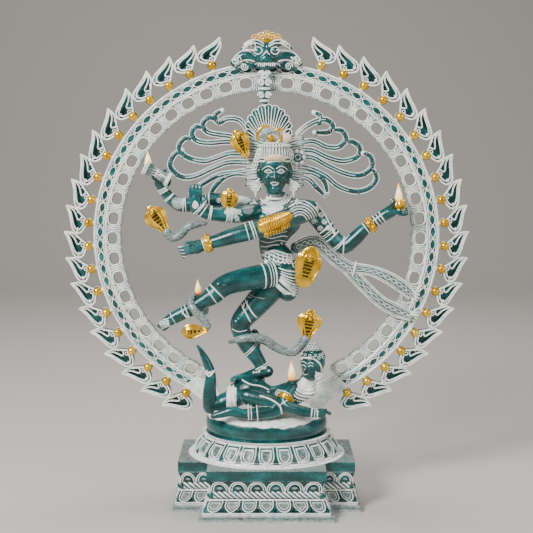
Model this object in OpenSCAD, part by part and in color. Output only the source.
// Dancing figure inside a flaming arch, on a stepped lotus pedestal, cast in brass.
// Millimetres. X runs across, -Y is the front, +Z is up.
// The origin is on the floor, under the middle of the pedestal.

/* [Pedestal] */
// Half width of the foot across the two side wings
wing_foot_x = 94; // [90:1:96]
// Half depth of the foot at the two side wings
wing_foot_y = 42; // [38:1:46]
// Half width of the foot at the middle block
block_foot_x = 66; // [62:1:70]
// Half depth of the foot at the middle block
block_foot_y = 70; // [66:1:74]
// Height of the pedestal's top face
pedestal_h = 51; // [50:1:52]
// Wall of the hollow pedestal
pedestal_wall = 4; // [3:0.5:5]
// Radius of the twisted rope moulding
rope_r = 3.2; // [2.5:0.1:3.6]

/* [Lotus and seat] */
// Half width of the lotus at its foot
lotus_foot_x = 75; // [70:1:76]
// Half width of the lotus at its top
lotus_top_x = 61; // [58:1:64]
// Height of the lotus
lotus_h = 22; // [20:1:24]
// Half width of the seat at its widest
seat_x = 61; // [58:1:62]
// Height of the seat
seat_h = 21; // [20:0.5:22]
// Depth of the lotus and the seat as a share of their width
oval_ratio = 0.78; // [0.72:0.02:0.84]

/* [Arch] */
// Height of the arch's centre
arch_z = 270; // [268:1:272]
// Inner radius of the arch
arch_inner_r = 150; // [148:1:152]
// Radius where the openwork ends and the engraved band starts
arch_mid_r = 163; // [162:1:164]
// Outer radius of the engraved band
arch_outer_r = 175; // [174:1:176]
// Radius of the flame tips
flame_tip_r = 207.4; // [206:0.2:208]
// Angle between flames
flame_pitch = 7.5; // [7.5:0.1:7.6]
// Flames on each side
flames_per_side = 19; // [17:1:19]
// Angle from the top to the first flame
first_flame = 17.5; // [17:0.5:18]
// Distance of the arch's middle plane behind the pedestal's centre
arch_y = 12; // [11:0.5:13]
// Thickness of the arch's plate
arch_t = 6; // [5:0.5:7]
// Radius of the gold beads
bead_r = 4.5; // [4:0.1:4.6]

/* [Fasteners] */
// Radius of the base bolts
bolt_r = 3; // [2.5:0.5:3]
// Distance of each base bolt from the middle
bolt_x = 34; // [32:1:36]
// Radius of the dowel that holds the figure
dowel_r = 2.5; // [2:0.5:2.5]
// Radius of the pins that hold the arch
pin_r = 2; // [1.5:0.5:2]

/* [Hidden] */
teal = "#1d7774";
wash = "#c9d6cf";
gold = "#c8a02c";
steel = "#8d9296";
glow = "#ffc063";
fine = 64;

// Levels of the pedestal: height, then the inset of the wings and of the middle block in X and in Y.
levels = [
  [0, 0, 0, 0, 0],
  [6, 0, 0, 0, 0],
  [6, 3, 3, 3, 1],
  [9, 3, 3, 4, 1],
  [22, 8, 6, 10, 6],
  [22, 12, 10, 14, 10],
  [30, 12, 10, 14, 10],
  [30, 8, 6, 12, 7],
  [41, 7, 5, 10, 6],
  [41, 5.7, 4, 7.8, 4],
  [pedestal_h, 5.7, 4, 7.8, 4]
];
rope_z = 26;
rope_inset = 9.6;
top_plate = 6;
lotus_z = pedestal_h;
seat_z = lotus_z + lotus_h;
ground_z = seat_z + seat_h;
band_end = 161;
dowel_at = [-4, -10];
pin_at = 50;
hair_r = 2.7;

// ---- curves and swept tubes ----

function spline(a, b, c, d, t) =
  0.5 * (2 * b + (c - a) * t + (2 * a - 5 * b + 4 * c - d) * t * t + (3 * b - a - 3 * c + d) * t * t * t);

// Points along a smooth curve through p, n steps to each span. A point is [x, y, z, radius].
function smooth(p, n) = let (last = len(p) - 1) [
  for (i = [0 : last - 1]) for (k = [0 : n - 1])
    spline(p[max(i - 1, 0)], p[i], p[i + 1], p[min(i + 2, last)], k / n),
  p[last]
];

function place(q) = [q[0], q[1], q[2]];
function unit(v) = v / norm(v);
function along(c, i) = unit(place(c[min(i + 1, len(c) - 1)]) - place(c[max(i - 1, 0)]));

// A short dome at each end of a curve, so that a tube ends round.
function domed(c) = let (e = len(c) - 1, a = along(c, 0), b = along(c, e), ra = c[0][3], rb = c[e][3]) concat(
  [for (s = [[0.95, 0.3], [0.65, 0.75]]) concat(place(c[0]) - a * ra * s[0], ra * s[1])],
  c,
  [for (s = [[0.65, 0.75], [0.95, 0.3]]) concat(place(c[e]) + b * rb * s[0], rb * s[1])]
);

// A tube along p with round ends. flat squeezes it along side, the direction it stays upright to.
module tube(p, sides = 8, n = 2, flat = 1, side = [0, 1, 0]) {
  c = domed(smooth(p, n));
  rings = len(c);
  points = [
    for (i = [0 : rings - 1])
      let (u = unit(cross(along(c, i), side)), v = cross(u, along(c, i)))
      for (k = [0 : sides - 1])
        place(c[i]) + c[i][3] * (u * cos(360 * k / sides) + v * flat * sin(360 * k / sides))
  ];
  wall = [
    for (i = [0 : rings - 2]) for (k = [0 : sides - 1])
      let (a = i * sides + k, b = i * sides + (k + 1) % sides)
      each [[a, b, b + sides], [a, b + sides, a + sides]]
  ];
  ends = [
    for (k = [1 : sides - 2]) each [
      [0, k + 1, k],
      [(rings - 1) * sides, (rings - 1) * sides + k, (rings - 1) * sides + k + 1]
    ]
  ];
  polyhedron(points, concat(wall, ends));
}

// A straight bar between two points, rounded at both ends.
module bar(a, b, ra, rb, facets = 6) {
  hull() {
    translate(a) sphere(ra, $fn = facets);
    translate(b) sphere(rb, $fn = facets);
  }
}

// A bangle that sits across a limb at p, at right angles to dir.
module bangle(p, dir, r, width) {
  translate(p)
    rotate([0, acos(dir[2] / norm(dir)), atan2(dir[1], dir[0])])
      cylinder(h = width, r = r, center = true, $fn = fine);
}

// A ring with a round wire, about the Y axis.
module hoop(p, r, wire) {
  translate(p) rotate([90, 0, 0])
    rotate_extrude($fn = fine) translate([r, 0]) circle(wire, $fn = 24);
}

// Fingers or toes: one bar for each, spread from a palm.
module digits(roots, tips, r0, r1) {
  for (i = [0 : len(roots) - 1]) {
    middle = (roots[i] + tips[i]) / 2 + [0, -0.8, 0.6];
    bar(roots[i], middle, r0, (r0 + r1) / 2);
    bar(middle, tips[i], (r0 + r1) / 2, r1);
  }
}

// ---- pedestal ----

module frustum(x0, y0, z0, x1, y1, z1) {
  polyhedron(
    [
      [-x0, -y0, z0], [x0, -y0, z0], [x0, y0, z0], [-x0, y0, z0],
      [-x1, -y1, z1], [x1, -y1, z1], [x1, y1, z1], [-x1, y1, z1]
    ],
    [[0, 1, 2, 3], [4, 5, 1, 0], [5, 6, 2, 1], [6, 7, 3, 2], [7, 4, 0, 3], [7, 6, 5, 4]]
  );
}

module stepped_block(x, y, column) {
  for (i = [0 : len(levels) - 2]) {
    a = levels[i];
    b = levels[i + 1];
    if (b[0] > a[0])
      frustum(x - a[column], y - a[column + 1], a[0], x - b[column], y - b[column + 1], b[0]);
  }
}

module pedestal_hollow() {
  inner_z = pedestal_h - top_plate;
  translate([-(wing_foot_x - 12 - pedestal_wall), -(wing_foot_y - 10 - pedestal_wall), -1])
    cube([2 * (wing_foot_x - 12 - pedestal_wall), 2 * (wing_foot_y - 10 - pedestal_wall), inner_z + 1]);
  translate([-(block_foot_x - 14 - pedestal_wall), -(block_foot_y - 10 - pedestal_wall), -1])
    cube([2 * (block_foot_x - 14 - pedestal_wall), 2 * (block_foot_y - 10 - pedestal_wall), inner_z + 1]);
}

module bolt_holes(z, h) {
  for (s = [-1, 1])
    translate([s * bolt_x, 0, z]) cylinder(h = h, r = bolt_r + 0.3, $fn = fine);
}

module pedestal() {
  color(teal) difference() {
    union() {
      stepped_block(wing_foot_x, wing_foot_y, 1);
      stepped_block(block_foot_x, block_foot_y, 3);
    }
    pedestal_hollow();
    bolt_holes(pedestal_h - top_plate - 1, top_plate + 2);
  }
}

// The pedestal's plan at a given inset: a block between two wings.
module cross_plan(inset) {
  square(2 * [wing_foot_x - inset, wing_foot_y - inset + 2], center = true);
  square(2 * [block_foot_x - inset - 2, block_foot_y - inset + 2], center = true);
}

// The rope's envelope: three bands that follow its round section.
module rope_moulding() {
  band = 2 * rope_r / 3;
  color(wash) difference() {
    for (k = [0 : 2])
      translate([0, 0, rope_z + (k - 1.5) * band])
        linear_extrude(band) cross_plan(rope_inset - (k == 1 ? 1.6 : 0.4));
    translate([0, 0, rope_z - 2 * band]) linear_extrude(4 * band) cross_plan(12);
  }
}

// ---- lotus and seat ----

// A solid of oval plan, from its foot to its top. A ring is [half width, height].
module oval(rings, sides = 40) {
  levels_up = len(rings);
  points = [
    for (r = rings) for (k = [0 : sides - 1])
      [r[0] * cos(360 * k / sides), r[0] * oval_ratio * sin(360 * k / sides), r[1]]
  ];
  wall = [
    for (i = [0 : levels_up - 2]) for (k = [0 : sides - 1])
      let (a = i * sides + k, b = i * sides + (k + 1) % sides)
      each [[a, b + sides, b], [a, a + sides, b + sides]]
  ];
  foot = [[for (k = [0 : sides - 1]) k]];
  top = [[for (k = [sides - 1 : -1 : 0]) (levels_up - 1) * sides + k]];
  polyhedron(points, concat(wall, foot, top));
}

module oval_prism(x, z0, z1) {
  translate([0, 0, z0]) linear_extrude(z1 - z0)
    polygon([for (k = [0 : 31]) [x * cos(11.25 * k), x * oval_ratio * sin(11.25 * k)]]);
}

module lotus_base() {
  color(wash) difference() {
    oval([
      [lotus_foot_x, lotus_z], [lotus_foot_x, lotus_z + 3], [lotus_foot_x - 3, lotus_z + 5],
      [lotus_foot_x - 4, lotus_z + 9], [lotus_top_x + 6, lotus_z + 16],
      [lotus_top_x + 1, lotus_z + 19], [lotus_top_x, seat_z]
    ]);
    difference() {
      oval_prism(lotus_top_x - 5, lotus_z - 1, seat_z - 5);
      for (s = [-1, 1])
        translate([s * bolt_x, 0, lotus_z - 2]) cylinder(h = lotus_h, r = 8, $fn = fine);
    }
    bolt_holes(lotus_z - 1, lotus_h + 2);
  }
}

module seat_body() {
  oval([
    [seat_x - 3, seat_z], [seat_x - 0.5, seat_z + 4], [seat_x, seat_z + 9],
    [seat_x - 1, seat_z + 15], [seat_x - 4, seat_z + 19], [seat_x - 9, ground_z]
  ]);
}

// The rounded seat with the low rocky ground on top of it.
module seat_cushion() {
  color(teal) difference() {
    union() {
      seat_body();
      translate([0, 6, ground_z - 3]) oval([[46, 0], [42, 4], [30, 7]], 24);
    }
    difference() {
      oval_prism(seat_x - 10, seat_z - 1, ground_z - 6);
      for (s = [-1, 1])
        translate([s * bolt_x, 0, seat_z - 2]) cylinder(h = seat_h, r = 8, $fn = fine);
      translate([dowel_at[0], dowel_at[1], seat_z + 6]) cylinder(h = seat_h, r = 7, $fn = fine);
      for (s = [-1, 1])
        translate([s * pin_at, arch_y, seat_z + 2]) cylinder(h = seat_h, r = 7, $fn = fine);
    }
    for (s = [-1, 1]) {
      translate([s * bolt_x, 0, seat_z - 1]) cylinder(h = 13, r = bolt_r, $fn = fine);
      translate([s * pin_at, arch_y, seat_z + 8]) cylinder(h = 30, r = pin_r, $fn = fine);
    }
    translate([dowel_at[0], dowel_at[1], seat_z + 10]) cylinder(h = 40, r = dowel_r, $fn = fine);
    seated_shapes();
  }
}

// The shapes that rest in the ground, so that each has a bed to lie in.
module seated_shapes() {
  dwarf_body_shape();
  dwarf_knee_shape();
  arch_feet();
}

module base_bolts() {
  color(steel) for (s = [-1, 1]) translate([s * bolt_x, 0, 0]) {
    translate([0, 0, pedestal_h - top_plate - 5.2]) cylinder(h = 4, r = 5.5, $fn = 6);
    translate([0, 0, pedestal_h - top_plate - 1.2])
      cylinder(h = top_plate + 1.2 + lotus_h + 11, r = bolt_r, $fn = fine);
  }
}

module base_washers() {
  color(steel) for (s = [-1, 1])
    translate([s * bolt_x, 0, pedestal_h - top_plate - 1.2]) difference() {
      cylinder(h = 1.2, r = 6.2, $fn = fine);
      translate([0, 0, -1]) cylinder(h = 4, r = bolt_r + 0.2, $fn = fine);
    }
}

// ---- dwarf ----

module dwarf_body_shape() {
  tube([[-30, -16, 115, 12], [-16, -18, 120, 15], [4, -20, 113, 11], [24, -20, 116, 13], [38, -19, 121, 11]], 10);
}

module dwarf_knee_shape() {
  tube([[-40, -20, 107, 9], [-54, -22, 104, 8.2]], 10);
}

module dwarf_leg_shape() {
  tube([[-56, -23, 104, 8], [-57, -23, 116, 7], [-56, -23, 129, 6], [-56, -23, 139, 5], [-60, -23, 150, 4.2], [-65, -23, 160, 2.6], [-69, -23, 166, 1.2]], 10);
}

module dwarf_folded_leg_shape() {
  tube([[-18, -30, 116, 9], [0, -34, 112, 9], [11, -38, 106, 7.5], [-4, -41, 102, 6.5], [-24, -42, 101, 5]], 10);
  tube([[-26, -42, 101, 5], [-34, -42, 104, 5.2], [-44, -42, 101.5, 4], [-53, -42, 99, 2.6]], 10);
}

module dwarf_head_shape() {
  tube([[41, -20, 134, 7], [44, -22, 140, 11], [46, -22, 149, 13.4], [47, -21, 157, 11.5], [47, -21, 161, 7]], 10);
}

module dwarf_arm_shape() {
  tube([[25, -27, 125, 7], [18, -34, 116, 6.2], [20, -40, 109, 5.8], [34, -44, 105, 5.4], [47, -45, 103, 4.4], [54, -44, 103, 5.6]], 10);
}

module dowel_hole() {
  translate([dowel_at[0], dowel_at[1], seat_z + 8]) cylinder(h = 60, r = dowel_r, $fn = fine);
}

module dwarf_body() {
  color(teal) difference() {
    union() {
      dwarf_body_shape();
      dwarf_knee_shape();
    }
    dowel_hole();
    standing_foot_shape();
    arch_feet();
  }
}

module dwarf_head() {
  color(teal) difference() {
    union() {
      dwarf_head_shape();
      for (a = [-60 : 30 : 210])
        bar([46 + 9.5 * cos(a), -22, 149 + 11 * sin(a)], [46 + 11.5 * cos(a), -18, 151 + 12 * sin(a)], 3, 3);
      bar([50, -31, 134], [52, -29, 130], 3.4, 3.4);
    }
    dwarf_body_shape();
    leg_serpent_shape();
  }
}

module dwarf_arm() {
  color(teal) difference() {
    union() {
      dwarf_arm_shape();
      for (k = [0 : 3])
        digits([[55, -46 + 1.6 * k, 104]], [[62, -44 + 2.4 * k, 103.5 - k]], 2, 1.5);
    }
    dwarf_body_shape();
  }
}

module dwarf_armlet() {
  color(gold) difference() {
    bangle([19, -34.5, 115.2], [-1, -1, -1.6], 8.2, 3.2);
    dwarf_body_shape();
    dwarf_arm_shape();
  }
}

module dwarf_raised_leg() {
  color(teal) difference() {
    dwarf_leg_shape();
    dwarf_knee_shape();
  }
}

module dwarf_folded_leg() {
  color(teal) difference() {
    dwarf_folded_leg_shape();
    dwarf_body_shape();
    dwarf_knee_shape();
    seat_body();
  }
}

// ---- dancing figure ----

module standing_leg_shape() {
  tube([[18, -12, 240, 13], [4, -11, 222, 14], [-12, -11, 204, 13], [-25, -13, 189, 11], [-25, -12, 178, 9.6], [-17, -10, 163, 9], [-8, -9, 149, 7], [-4, -9, 140, 6.4]], 10);
}

module standing_foot_shape() {
  tube([[-1, -8, 136, 6.5], [-8, -11, 135, 6], [-20, -16, 133, 5], [-32, -20, 131.5, 3.6]], 8, 2, 1.1);
}

module raised_leg_shape() {
  tube([[14, -18, 238, 13], [-4, -24, 236, 12], [-24, -30, 233, 11.4], [-41, -34, 228, 10.6], [-52, -36, 219, 9.4], [-62, -37, 213, 7.6], [-69, -38, 209, 6.4]]);
}

module raised_foot_shape() {
  tube([[-68, -38, 208, 7.4], [-80, -39, 202, 7], [-92, -40, 196, 6.6], [-100, -40, 191, 5.4]], 8, 2, 0.8);
}

module torso_shape() {
  tube([[12, -9, 246, 13.5], [7, -9, 256, 13], [5, -10, 266, 12.8], [9, -10, 280, 17.5], [14, -9, 292, 22], [15, -8, 301, 17]], 12, 2, 0.72);
}

module shoulders_shape() {
  tube([[-14, -8, 301, 8.5], [4, -9, 302, 10], [26, -9, 302, 10], [43, -8, 301, 9]], 10);
}

module neck_shape() {
  tube([[9, -10, 306, 8.5], [9, -11, 322, 7.6]], 10);
}

module head_shape() {
  tube([[8, -13, 323, 8.5], [8, -14, 330, 11.8], [8, -14, 339, 13.8], [8, -13, 348, 13.4], [8, -12, 353, 9]], 10, 2, 1.05);
}

module drum_arm_shape() {
  tube([[-14, -3, 303, 8], [-36, 0, 308, 8], [-60, 1, 308, 7.4], [-83, 1, 304, 7], [-94, 1, 309, 6.2], [-101, 0, 317, 5.4], [-106, -1, 327, 6]], 10);
}

module blessing_arm_shape() {
  tube([[-10, -14, 299, 8.4], [-28, -17, 296, 8.2], [-46, -21, 297, 7.6], [-59, -23, 299, 6.8], [-68, -24, 306, 7.2]], 10);
}

module crossing_arm_shape() {
  tube([[42, -15, 300, 10], [26, -26, 295, 10], [6, -34, 289, 9.4], [-14, -37, 282, 8.6], [-32, -38, 277, 8], [-48, -38, 272, 6.6], [-58, -38, 269.5, 5.8], [-68, -38, 266, 7.4]], 10);
}

module flame_arm_shape() {
  tube([[44, -5, 300, 9.6], [56, -5, 285, 8.6], [67, -5, 272, 8], [77, -5, 263, 7.6], [88, -6, 271, 7.4], [97, -7, 280, 6.4], [105, -7, 286, 5.4], [116, -8, 294, 6.2], [125, -8, 300, 7.4]], 10);
}

module standing_leg() {
  color(teal) difference() {
    union() {
      standing_leg_shape();
      standing_foot_shape();
    }
    translate([dowel_at[0], dowel_at[1], seat_z + 8])
      cylinder(h = 52, r = dowel_r, $fn = fine);
    raised_leg_shape();
  }
}

module figure_dowel() {
  color(steel) translate([dowel_at[0], dowel_at[1], seat_z + 11])
    cylinder(h = 46, r = dowel_r, $fn = fine);
}

module raised_leg() {
  color(teal) difference() {
    union() {
      raised_leg_shape();
      raised_foot_shape();
      digits(
        [for (k = [0 : 4]) [-99, -44 + 2.2 * k, 193 - 1.6 * k]],
        [for (k = [0 : 4]) [-106 + k * 0.8, -44 + 2.2 * k, 189 - 1.8 * k]],
        2.4, 1.7
      );
    }
    ankle_serpent_shape();
  }
}

module torso() {
  color(teal) difference() {
    union() {
      torso_shape();
      shoulders_shape();
      neck_shape();
    }
    raised_leg_shape();
    standing_leg_shape();
    drum_arm_shape();
    blessing_arm_shape();
    crossing_arm_shape();
    flame_arm_shape();
  }
}

module necklace() {
  color(wash) difference() {
    union() {
      for (k = [0 : 2])
        translate([10, -13 - 0.5 * k, 309 - 3.4 * k]) rotate([14, 0, 0]) scale([1, 0.72, 1])
          cylinder(h = 2.4, r = 12.5 + 2.2 * k, center = true, $fn = 28);
      for (a = [-150 : 20 : -30])
        bar([10 + 17 * cos(a), -16 + 7 * sin(a), 296], [10 + 15 * cos(a), -16 + 6.4 * sin(a), 303], 1.8, 1.8);
      bar([2, -27, 292], [14, -27, 286], 2.4, 2.4);
    }
    torso_shape();
    shoulders_shape();
    neck_shape();
    crossing_arm_shape();
    blessing_arm_shape();
  }
}

module head() {
  color(teal) difference() {
    union() {
      head_shape();
      bar([8, -29, 335], [8, -27.5, 342], 1.8, 1.2);
      for (s = [-1, 1]) {
        bar([8 + s * 3, -26.8, 343.5], [8 + s * 10, -23, 344], 1, 0.8);
        bar([8 + s * 3.5, -26.6, 340], [8 + s * 9, -24, 340.4], 1.2, 0.8);
        bar([8, -27, 329.5], [8 + s * 3.4, -26, 329.8], 1.1, 0.8);
        bar([8 + s * 13, -11, 333], [8 + s * 13.5, -11, 343], 2, 2.4);
      }
    }
    neck_shape();
    crown_cap_shape();
  }
}

module earrings() {
  color(wash) for (s = [-1, 1]) difference() {
    union() {
      translate([8 + s * 19, -15, 323]) rotate([90, 0, 0]) cylinder(h = 4, r = 6, $fn = fine, center = true);
      hoop([8 + s * 19, -17.5, 323], 4, 1.1);
    }
    head_shape();
    shoulders_shape();
  }
}

module hip_cloth_shape() {
  tube([[10, -10, 254, 15.5], [14, -11, 246, 17], [17, -13, 236, 18.4], [19, -14, 227, 16], [21, -14, 220, 11]], 12, 2, 0.95);
}

module hip_cloth() {
  color(wash) difference() {
    union() {
      hip_cloth_shape();
      for (k = [0 : 3])
        bar([0, -25 + k, 254 - 5 * k], [30, -27 + k, 250 - 6 * k], 2.2, 2.2);
      for (k = [0 : 4])
        bar([4 + 6 * k, -27, 256], [5 + 6 * k, -29, 251], 1.8, 1.4);
    }
    torso_shape();
    raised_leg_shape();
    standing_leg_shape();
    waist_hood_shape();
  }
}

module sash_shape() {
  tube([[30, -2, 262, 6], [42, -1, 267, 7], [52, 0, 266, 6.5], [62, 1, 257, 6.5], [73, 3, 247, 6.5], [84, 4, 240, 6.8]], 8, 2, 0.4);
  tube([[84, 4, 240, 6], [104, 5, 238, 5], [122, 5.5, 231, 6], [138, 6, 221, 6.4], [148, 6.4, 212, 4.5]], 8, 2, 0.36);
  tube([[82, 4, 240, 6], [97, 5, 224, 6], [116, 5.5, 206, 6], [132, 6, 197, 6.4], [148, 6.4, 190, 4.5]], 8, 2, 0.36);
}

module sash() {
  color(wash) difference() {
    union() {
      sash_shape();
      for (k = [0 : 3]) {
        bar([146, 6.4, 216 - 3 * k], [152 + k, 6.8, 211 - 3.5 * k], 1.6, 1.2);
        bar([146, 6.4, 193 - 3 * k], [153 - k, 6.8, 187 - 2.5 * k], 1.6, 1.2);
      }
    }
    hip_cloth_shape();
    waist_hood_shape();
    arch_plate_block();
    flame_arm_shape();
  }
}

module arch_plate_block() {
  translate([0, arch_y, arch_z]) rotate([90, 0, 0]) difference() {
    cylinder(h = arch_t, r = arch_outer_r, center = true, $fn = 180);
    cylinder(h = arch_t + 2, r = arch_inner_r - 1, center = true, $fn = 180);
  }
}

// ---- head-dress and hair ----

module crown_cap_shape() {
  tube([[8, -11, 353, 15.4], [8, -10, 360, 14.6], [7, -9, 367, 12], [6, -8, 373, 8]], 10);
}

module crown_cap() {
  color(wash) {
    crown_cap_shape();
    for (a = [-160 : 20 : -20])
      bar([8 + 15 * cos(a), -12 + 15 * sin(a), 352], [8 + 13.6 * cos(a), -11 + 13.6 * sin(a), 360], 2, 1.6);
  }
}

// Eleven rounded feathers fan out above the cap.
module feather_fan() {
  color(wash) difference() {
    union() {
      for (i = [-5 : 5]) {
        a = 90 - 13 * i;
        reach = 37 - 0.34 * i * i;
        bar([2 + 13 * cos(a), -6, 367 + 11 * sin(a)], [2 + reach * cos(a) * 0.86, -5, 366 + reach * sin(a)], 2.4, 3.6);
      }
    }
    crown_cap_shape();
  }
}

module crown_crescent() {
  color(gold) difference() {
    union() {
      translate([0, -20, 377]) rotate([90, 0, 0]) rotate_extrude(angle = 210, start = 20, $fn = fine)
        translate([7, 0]) circle(1.5, $fn = 24);
      translate([2, -21, 375]) sphere(2.6, $fn = 32);
      translate([10, -20, 380]) rotate([90, 0, 0]) cylinder(h = 3, r = 2.4, center = true, $fn = fine);
    }
    crown_cap_shape();
  }
}

// One lock of hair and the knot at its outer end.
module lock(p) {
  tube(p, 4);
  middle = p[floor(len(p) / 2)];
  bar(place(middle), place(middle) + [1.5, 0, -1.5], middle[3] + 0.9, middle[3] + 0.9);
}

module hair_knots(centres) {
  for (c = centres)
    bar(c, c + [0, 0, -3], 3.6, 3.6);
}

module hair_left() {
  r = hair_r;
  color(wash) difference() {
    union() {
      lock([[-12, -2, 362, r], [-24, -1, 386, r], [-38, 0, 390, r], [-47, 1, 386, r], [-51, 2, 393, 2.2], [-44, 2, 398, 1.4]]);
      lock([[-10, -2, 366, r], [-33, -1, 372, r], [-46, 0, 374, r], [-59, 1, 377, r], [-63, 2, 385, r], [-57, 2, 391, r], [-48, 1, 388, r]]);
      lock([[-10, -2, 362, r], [-34, -1, 367, r], [-56, 0, 366, r], [-69, 1, 368, r], [-74, 2, 375, r], [-70, 2, 382, r], [-62, 2, 380, r]]);
      lock([[-10, -2, 354, r], [-34, -1, 356, r], [-48, 0, 352, r], [-62, 1, 348, r], [-79, 2, 352, r], [-87, 2, 361, r], [-82, 2, 370, r], [-73, 2, 370, r]]);
      lock([[-10, -2, 346, r], [-36, -1, 347, r], [-54, 0, 341, r], [-72, 1, 333, r], [-86, 2, 333, r], [-96, 2, 343, r], [-92, 2, 354, r], [-84, 2, 359, r]]);
      lock([[-10, -2, 340, r], [-30, -1, 337, r], [-48, 0, 334, r], [-66, 1, 324, 2], [-76, 2, 316, 1.6]]);
      lock([[-10, -2, 332, r], [-28, -1, 336, r], [-42, 0, 332, r], [-52, 1, 322, r], [-56, 2, 314, 2]]);
      hair_knots([[-12, 0, 352], [-13, 0, 342], [-14, 0, 332]]);
    }
    head_shape();
    crown_cap_shape();
    hair_hood_shape();
    drum_arm_shape();
  }
}

module hair_right() {
  r = hair_r;
  color(wash) difference() {
    union() {
      lock([[22, -2, 362, r], [33, -1, 377, r], [46, 0, 386, r], [58, 1, 389, r], [66, 2, 383, r], [61, 2, 376.5, r], [48, 1, 376.5, 2.2]]);
      lock([[52, 1, 387, 2.4], [53, 1, 393, 2], [47, 1, 396, 1.2]]);
      lock([[24, -2, 364, r], [44, -1, 368, r], [60, 0, 362, r], [72, 1, 362, r], [79, 2, 370, r], [75, 2, 378, r], [66, 2, 379, r]]);
      lock([[24, -2, 360, r], [44, -1, 359, r], [60, 0, 352, r], [76, 1, 348, r], [90, 2, 352, r], [93, 2, 361, r], [86, 2, 367, r], [79, 2, 367, r]]);
      lock([[24, -2, 354, r], [44, -1, 352, r], [60, 0, 344, r], [78, 1, 336, r], [94, 2, 334, r], [105, 2, 342, r], [103.6, 2, 352.5, r], [95.4, 1.6, 356.2, r]]);
      lock([[22, -2, 344, r], [42, -1, 341, r], [58, 0, 334, r], [72, 1, 323, r], [88, 2, 318, r], [102, 2, 321, r], [110, 2, 331, r], [105, 2, 341, r]]);
      lock([[22, -2, 338, r], [44, -1, 337, r], [57, 0, 329, r], [61, 1, 316, 2]]);
      lock([[22, -2, 334, r], [40, -1, 331, r], [50, 0, 322, r], [58, 1, 314, 2]]);
      hair_knots([[30, 0, 362], [31, 0, 352], [30, 0, 342]]);
    }
    head_shape();
    crown_cap_shape();
    flame_arm_shape();
  }
}

// ---- arms and what they hold ----

module drum_arm() {
  color(teal) difference() {
    union() {
      drum_arm_shape();
      digits(
        [for (k = [0 : 3]) [-108 + 3 * k, -4, 329 + k]],
        [for (k = [0 : 3]) [-112 + 4 * k, -9, 336 + k]],
        2.2, 1.8
      );
      bar([-100, -2, 322], [-96, -8, 330], 2.6, 2);
    }
    blessing_arm_shape();
    crossing_arm_shape();
  }
}

// An hourglass drum held on its side.
module drum_shape() {
  translate([-108, -9, 336]) rotate([0, -62, 0]) rotate_extrude($fn = fine)
    polygon([[0, -14], [7, -14], [7, -11], [3.6, 0], [7, 11], [7, 14], [0, 14]]);
}

module drum() {
  color(teal) difference() {
    drum_shape();
    drum_arm_shape();
  }
}

module blessing_arm() {
  color(teal) difference() {
    union() {
      blessing_arm_shape();
      bar([-69, -25, 304], [-69, -25, 313], 7.4, 6.4, 8);
      digits(
        [for (k = [0 : 3]) [-74 + 3.2 * k, -26, 314 + k * 0.4]],
        [for (k = [0 : 3]) [-73.5 + 3 * k, -25, 325 - abs(k - 1.5)]],
        2.1, 1.6
      );
      bar([-63, -27, 304], [-60, -28, 312], 2.6, 2);
    }
    shoulder_hood_shape();
    crossing_arm_shape();
  }
}

module crossing_arm() {
  color(teal) {
    crossing_arm_shape();
    digits(
      [for (k = [0 : 3]) [-72, -42 + 2.4 * k, 268 - 2 * k]],
      [for (k = [0 : 3]) [-84 + k, -41 + 2.2 * k, 265 - 3.4 * k]],
      2.3, 1.6
    );
    bar([-68, -43, 269], [-74, -46, 272], 2.4, 1.8);
  }
}

module flame_arm() {
  color(teal) difference() {
    union() {
      flame_arm_shape();
      digits(
        [for (k = [0 : 3]) [128, -12 + 2.6 * k, 298]],
        [for (k = [0 : 3]) [138, -14 + 3.4 * k, 294 + 1.5 * k]],
        2.4, 1.6
      );
      bar([122, -12, 302], [124, -14, 311], 2.4, 1.8);
    }
    crossing_arm_shape();
  }
}

// The cupped flame holder in the open hand.
module fire_bowl_shape() {
  translate([131, -9, 301]) rotate_extrude($fn = fine)
    polygon([[0, 0], [5, 1], [7.6, 5], [8, 9], [6.6, 9], [5.4, 5], [3.6, 3], [0, 2.6]]);
}

module fire_bowl() {
  color(gold) difference() {
    fire_bowl_shape();
    flame_arm_shape();
  }
}

// Coils of gold wire from the elbow to the shoulder of the arm that crosses the chest.
module ribbed_armlet_shape() {
  for (k = [0 : 6]) {
    t = k / 6;
    translate([-1 + 24 * t, -35.4 + 7 * t, 287 + 7.4 * t])
      rotate([0, 71, 16]) cylinder(h = 5, r = 12 + (k % 2) * 0.7, center = true, $fn = fine);
  }
}

module ribbed_armlet() {
  color(gold) difference() {
    ribbed_armlet_shape();
    crossing_arm_shape();
    translate([-20, -26, 270]) cube([60, 26, 44]);
  }
}

module crossing_bangle_shape() {
  bangle([-55, -38, 270.4], [-3, 0, -0.8], 8.6, 5);
}

module crossing_bangle() {
  color(gold) difference() {
    crossing_bangle_shape();
    crossing_arm_shape();
  }
}

module flame_bangle_shape() {
  bangle([101.5, -7, 283.6], [8, -0.2, 6.4], 8.4, 6);
}

module flame_bangle() {
  color(gold) difference() {
    flame_bangle_shape();
    flame_arm_shape();
  }
}

// ---- serpents ----

// A spread hood: wide and thin, with a small head leaning over the top.
module hood(base, tip, wide, thick) {
  way = tip - base;
  tube(
    [
      concat(base, wide * 0.34), concat(base + way * 0.28, wide * 0.66), concat(base + way * 0.62, wide),
      concat(base + way * 0.88, wide * 0.72), concat(tip, wide * 0.4)
    ],
    12, 2, thick / wide
  );
  bar(tip + [0, -thick * 0.2, 0], tip + [0, -thick * 1.7, -thick * 0.5], thick * 0.72, thick * 0.5, 10);
}

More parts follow.
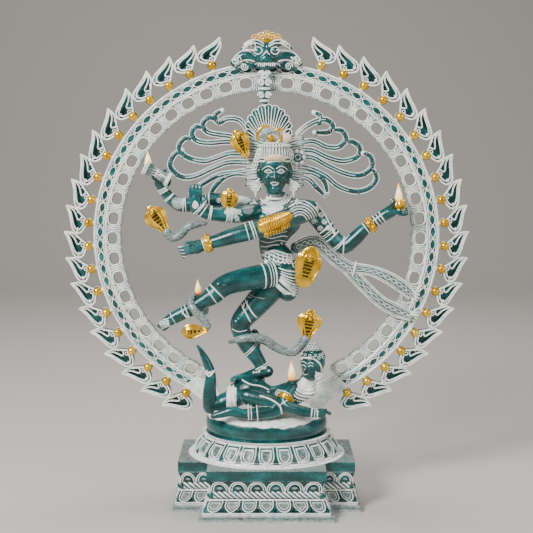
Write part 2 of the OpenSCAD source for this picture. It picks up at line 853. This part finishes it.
module leg_serpent_shape() {
  tube([[-37, -16, 168, 1.6], [-28, -22, 172, 3.4], [-14, -23, 174, 4.4], [-2, -20, 171, 4.6], [8, -17, 164, 4.4], [18, -16, 159, 4.2], [27, -16, 158, 4.2], [34, -16, 164, 4.4], [39, -17, 172, 4.6]], 10);
}

module leg_serpent() {
  color(teal) difference() {
    leg_serpent_shape();
    standing_leg_shape();
    leg_hood_shape();
  }
}

module leg_hood_shape() {
  hood([40, -18, 173], [44, -20, 199], 12, 4.6);
}

module leg_serpent_hood() {
  color(gold) leg_hood_shape();
}

module ankle_serpent_shape() {
  tube([[-60, -28, 201, 3], [-62, -29, 212, 3.6], [-70, -32, 218, 3.8], [-74, -40, 214, 3.8], [-70, -46, 206, 3.8], [-62, -47, 198, 3.6], [-57, -46, 190, 3.4]], 10);
}

module ankle_serpent() {
  color(teal) difference() {
    ankle_serpent_shape();
    ankle_hood_shape();
  }
}

module ankle_hood_shape() {
  hood([-58, -46, 186], [-82, -45, 184], 6.6, 5);
}

module ankle_serpent_hood() {
  color(gold) ankle_hood_shape();
}

module arm_serpent_shape() {
  tube([[-60, -22, 288, 2], [-70, -26, 287, 3.6], [-78, -26, 284, 4], [-84, -25, 277, 4], [-92, -24, 274, 4], [-98, -24, 279, 4.2]], 10);
}

module arm_serpent() {
  color(wash) difference() {
    arm_serpent_shape();
    arm_hood_shape();
    blessing_arm_shape();
  }
}

module arm_hood_shape() {
  hood([-99, -24, 281], [-114, -25, 303], 10.5, 5);
}

module arm_serpent_hood() {
  color(gold) arm_hood_shape();
}

module waist_hood_shape() {
  hood([35, -30, 234], [42, -31, 262], 12.5, 5);
}

module waist_serpent_hood() {
  color(gold) waist_hood_shape();
}

module hair_hood_shape() {
  hood([-20, -10, 354], [-29, -12, 377], 9, 4);
}

module hair_serpent_hood() {
  color(gold) difference() {
    hair_hood_shape();
    crown_cap_shape();
    head_shape();
  }
}

module shoulder_hood_shape() {
  hood([-37, -21, 300], [-36, -23, 321], 8, 3.6);
}

module shoulder_serpent_hood() {
  color(gold) difference() {
    shoulder_hood_shape();
    drum_arm_shape();
  }
}

// ---- arch ----

function polar(r, a) = [r * sin(a), r * cos(a)];

// A flat sector of a ring about the arch's centre, open at the bottom.
module sector(r0, r1) {
  difference() {
    circle(r1, $fn = 180);
    circle(r0, $fn = 180);
    polygon([[0, 0], 2 * r1 * [sin(band_end), cos(band_end)], 2 * r1 * [-sin(band_end), cos(band_end)]]);
  }
}

module stand_up(t) {
  translate([0, arch_y + t / 2, arch_z]) rotate([90, 0, 0]) linear_extrude(t) children();
}

module window(a) {
  r0 = arch_inner_r + 3;
  r1 = arch_mid_r - 2;
  w = 3.6;
  c = 1.4;
  rotate([0, 0, -a]) polygon([
    [-w + c, r0], [w - c, r0], [w, r0 + c], [w, r1 - c],
    [w - c, r1], [-w + c, r1], [-w, r1 - c], [-w, r0 + c]
  ]);
}

// Solid webs that carry the ends of the band down to the seat.
module foot_web() {
  for (s = [0, 1]) mirror([s, 0])
    polygon([
      [43, ground_z - 6 - arch_z], [57, ground_z - 6 - arch_z], [64, ground_z + 7 - arch_z],
      [72, ground_z + 12 - arch_z], polar(arch_outer_r + 1, 153), polar(arch_mid_r - 5, 155),
      polar(arch_mid_r - 5, band_end + 0.5)
    ]);
}

module arch_feet() {
  stand_up(arch_t + 1) foot_web();
}

module arch_band() {
  color(wash) difference() {
    union() {
      stand_up(arch_t) difference() {
        sector(arch_inner_r, arch_outer_r);
        for (i = [-20 : 20])
          window(i * flame_pitch);
      }
      arch_feet();
    }
    for (s = [-1, 1])
      translate([s * pin_at, arch_y, ground_z - 20]) cylinder(h = 32, r = pin_r, $fn = fine);
    for (r = [arch_mid_r, arch_outer_r - 1.8])
      rim(r, 1.2);
    mask_back();
  }
}

// A round bead of wire let into the front of the band along a circle.
module rim(r, wire) {
  translate([0, arch_y - arch_t / 2, arch_z]) rotate([90, 0, 0])
    rotate_extrude(angle = 2 * band_end - 6, start = 93 - band_end, $fn = 180)
      translate([r, 0]) circle(wire, $fn = 24);
}

module arch_rims() {
  color(wash) difference() {
    for (r = [arch_mid_r, arch_outer_r - 1.8])
      rim(r, 1.2);
    mask_back();
  }
}

// One flame: a stem, a round belly and a tip that leans towards the top of the arch.
module flame_tongue(a, lean) {
  root = arch_outer_r - 0.2;
  tip = flame_tip_r;
  rotate([0, 0, -a]) scale([-lean, 1]) polygon([
    [-2.4, root], [2.4, root], [2.6, tip - 23], [8.6, tip - 20.4], [12.4, tip - 15],
    [14.4, tip - 8], [14.2, tip], [11, tip - 4], [5, tip - 5.8], [-1, tip - 6.6], [-6, tip - 9.4],
    [-9.4, tip - 13.4], [-9.8, tip - 17.2], [-8.4, tip - 20.8], [-3, tip - 23.4]
  ]);
}

function flame_angle(i) = first_flame + flame_pitch * i;

module arch_flames() {
  color(wash) difference() {
    stand_up(4.4)
      for (s = [-1, 1]) for (i = [0 : flames_per_side - 1])
        flame_tongue(s * flame_angle(i), s);
    arch_bead_set();
    translate([0, arch_y, arch_z]) rotate([90, 0, 0])
      cylinder(h = 30, r = arch_outer_r, center = true, $fn = 180);
    mask_back();
  }
}

module arch_bead_set() {
  for (s = [-1, 1]) for (i = [0 : flames_per_side - 1]) {
    p = polar(arch_outer_r + 6, s * flame_angle(i));
    translate([p[0], arch_y - 2.2, arch_z + p[1]]) sphere(bead_r, $fn = 32);
  }
}

module arch_beads() {
  color(gold) difference() {
    arch_bead_set();
    mask_back();
  }
}

module arch_pins() {
  color(steel) for (s = [-1, 1])
    translate([s * pin_at, arch_y, seat_z + 9]) cylinder(h = 22, r = pin_r, $fn = fine);
}

// ---- guardian mask at the top of the arch ----

// Space that the mask takes out of the arch behind it.
module mask_back() {
  translate([-24, arch_y - arch_t / 2 - 4, arch_z + arch_mid_r + 4]) cube([48, arch_t + 3, 60]);
}

module disc_y(p, r, t) {
  translate(p) rotate([90, 0, 0]) cylinder(h = t, r = r, center = true, $fn = fine);
}

module lion_mask() {
  color(teal) difference() {
    union() {
      translate([-23.8, arch_y - 5, arch_z + arch_mid_r + 4.2]) cube([47.6, 6, 26]);
      translate([0, arch_y - 7, 453]) rotate([90, 0, 0]) cylinder(h = 7, r1 = 17, r2 = 12, center = true, $fn = fine);
      for (s = [-1, 1]) {
        disc_y([s * 9, arch_y - 11, 457], 6, 5);
        disc_y([s * 30, arch_y - 6, 447], 8.4, 6);
        disc_y([s * 20, arch_y - 7, 462], 8, 6);
      }
      disc_y([0, arch_y - 12, 450], 5.6, 7);
    }
    mask_crown_shape();
  }
}

module mask_crown_shape() {
  for (i = [-2 : 2])
    disc_y([i * 5.2, arch_y - 6 + abs(i) * 0.1, 471 - abs(i) * 1.6], 4.6, 8);
  translate([-12, arch_y - 10, 463.5]) cube([24, 8, 5]);
}

module mask_crown() {
  color(gold) mask_crown_shape();
}

module mask_pendant() {
  color(teal) difference() {
    union() {
      disc_y([-2, arch_y - 8, 436], 5, 6);
      disc_y([-2, arch_y - 8, 426], 6.4, 6);
      translate([-6, arch_y - 11, 400]) cube([8, 6, 26]);
      disc_y([-2, arch_y - 8, 414], 6, 6);
    }
    translate([0, arch_y - 7, 453]) rotate([90, 0, 0]) cylinder(h = 12, r = 17, center = true, $fn = fine);
    arch_plate_block();
    fan_reach();
  }
}

module fan_reach() {
  translate([2, -5, 366]) rotate([90, 0, 0]) cylinder(h = 12, r = 41, center = true, $fn = fine);
}

// ---- lamp flames ----

// A standing drop of flame with a round foot.
module drop(p, h, r) {
  translate(p) rotate_extrude($fn = 32)
    polygon([[0, 0], [r * 0.6, h * 0.06], [r, h * 0.3], [r * 0.82, h * 0.55], [r * 0.4, h * 0.8], [0, h]]);
}

module drum_flame() {
  color(glow) difference() {
    drop([-117, -8, 341], 18, 3.6);
    drum_shape();
  }
}

module hand_flame() {
  color(glow) drop([131, -9, 303.7], 24, 4);
}

module ankle_flame() {
  color(glow) difference() {
    drop([-67, -34, 219.5], 15, 3);
    ankle_serpent_shape();
  }
}

module dwarf_flame() {
  color(glow) difference() {
    drop([25, -26, 131], 21, 3.8);
    dwarf_arm_shape();
    dwarf_body_shape();
  }
}

pedestal();
rope_moulding();
lotus_base();
seat_cushion();
base_bolts();
base_washers();
dwarf_body();
dwarf_head();
dwarf_arm();
dwarf_armlet();
dwarf_raised_leg();
dwarf_folded_leg();
standing_leg();
raised_leg();
torso();
necklace();
head();
earrings();
hip_cloth();
sash();
crown_cap();
feather_fan();
crown_crescent();
hair_left();
hair_right();
drum_arm();
drum();
blessing_arm();
crossing_arm();
flame_arm();
fire_bowl();
ribbed_armlet();
crossing_bangle();
flame_bangle();
leg_serpent();
leg_serpent_hood();
ankle_serpent();
ankle_serpent_hood();
arm_serpent();
arm_serpent_hood();
waist_serpent_hood();
hair_serpent_hood();
shoulder_serpent_hood();
figure_dowel();
arch_band();
arch_rims();
arch_flames();
arch_beads();
arch_pins();
lion_mask();
mask_crown();
mask_pendant();
drum_flame();
hand_flame();
ankle_flame();
dwarf_flame();
